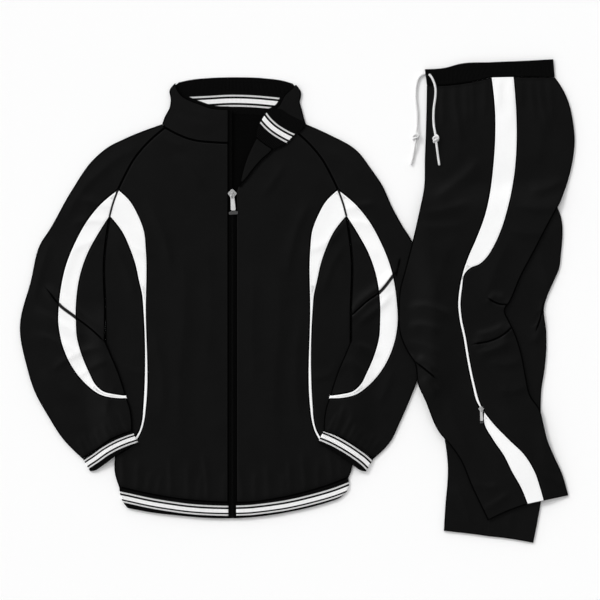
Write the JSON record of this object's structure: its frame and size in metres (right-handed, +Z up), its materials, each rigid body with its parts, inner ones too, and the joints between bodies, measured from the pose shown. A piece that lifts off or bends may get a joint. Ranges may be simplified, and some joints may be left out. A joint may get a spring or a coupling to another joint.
{
  "type": "tracksuit",
  "caption": "Zip-front track jacket with curved inserts and striped ribs, laid flat beside matching trousers with a side stripe, a drawcord waist and an ankle zip.",
  "frame": {"origin": "centre of the set's footprint, on the surface that it lies on, measured without the two free cord ends", "axes": "+X from the jacket towards the trousers, +Y from the hems towards the collar and the waistband, +Z up from the surface"},
  "size_m": [1.1096, 0.9679, 0.0184],
  "materials": {
    "black_cloth": "matt woven polyester",
    "black_rib": "knitted rib with white and grey stripes",
    "white_cloth": "matt woven polyester",
    "white_cord": "braided cord",
    "zip_black": "moulded teeth on woven tape",
    "metal": "satin nickel",
    "grip_plastic": "moulded"
  },
  "bodies": {
    "tracksuit": {"back": "black_cloth", "right_front": "black_cloth", "left_front": "black_cloth", "right_side_front": "black_cloth", "left_side_front": "black_cloth", "right_body_insert": "white_cloth", "left_body_insert": "white_cloth", "right_sleeve_front": "black_cloth", "left_sleeve_front": "black_cloth", "right_sleeve_crescent": "white_cloth", "left_sleeve_crescent": "white_cloth", "right_sleeve_inset": "black_cloth", "left_sleeve_inset": "black_cloth", "right_sleeve_back": "black_cloth", "left_sleeve_back": "black_cloth", "right_cuff": "black_rib", "left_cuff": "black_rib", "right_hem_band": "black_rib", "left_hem_band": "black_rib", "back_hem_band": "black_rib", "right_collar": "black_cloth", "left_collar": "black_cloth", "back_collar": "black_rib", "left_collar_turned_end": "black_rib", "left_front_facing": "black_cloth", "zip_chain": "zip_black", "zip_right_half": "zip_black", "zip_left_half": "zip_black", "front_slider": "metal", "waistband": "black_rib", "left_front_leg": "black_cloth", "left_back_leg": "black_cloth", "right_front_leg": "black_cloth", "right_back_leg": "black_cloth", "left_side_stripe": "white_cloth", "left_ankle_gusset": "white_cloth", "ankle_slider": "metal", "drawcord_on_front": "white_cord", "drawcord_on_front_knot": "white_cord", "drawcord_on_floor": "white_cord", "drawcord_on_floor_knot": "white_cord"},
    "front_pull": {"front_pull": "metal", "front_pull_grip": "grip_plastic"},
    "ankle_pull": {"ankle_pull": "metal", "ankle_pull_grip": "grip_plastic"}
  },
  "joints": [
    {"name": "front_pull_hinge", "type": "hinge", "parent": "tracksuit", "child": "front_pull", "pos_m": [-0.1303, 0.212, 0.0086], "axis": [-0.9978, -0.0663, 0], "range_deg": [0, 165]},
    {"name": "ankle_pull_hinge", "type": "hinge", "parent": "tracksuit", "child": "ankle_pull", "pos_m": [0.3674, -0.2175, 0.01267], "axis": [-0.9986, -0.0523, 0], "range_deg": [0, 165]}
  ]
}
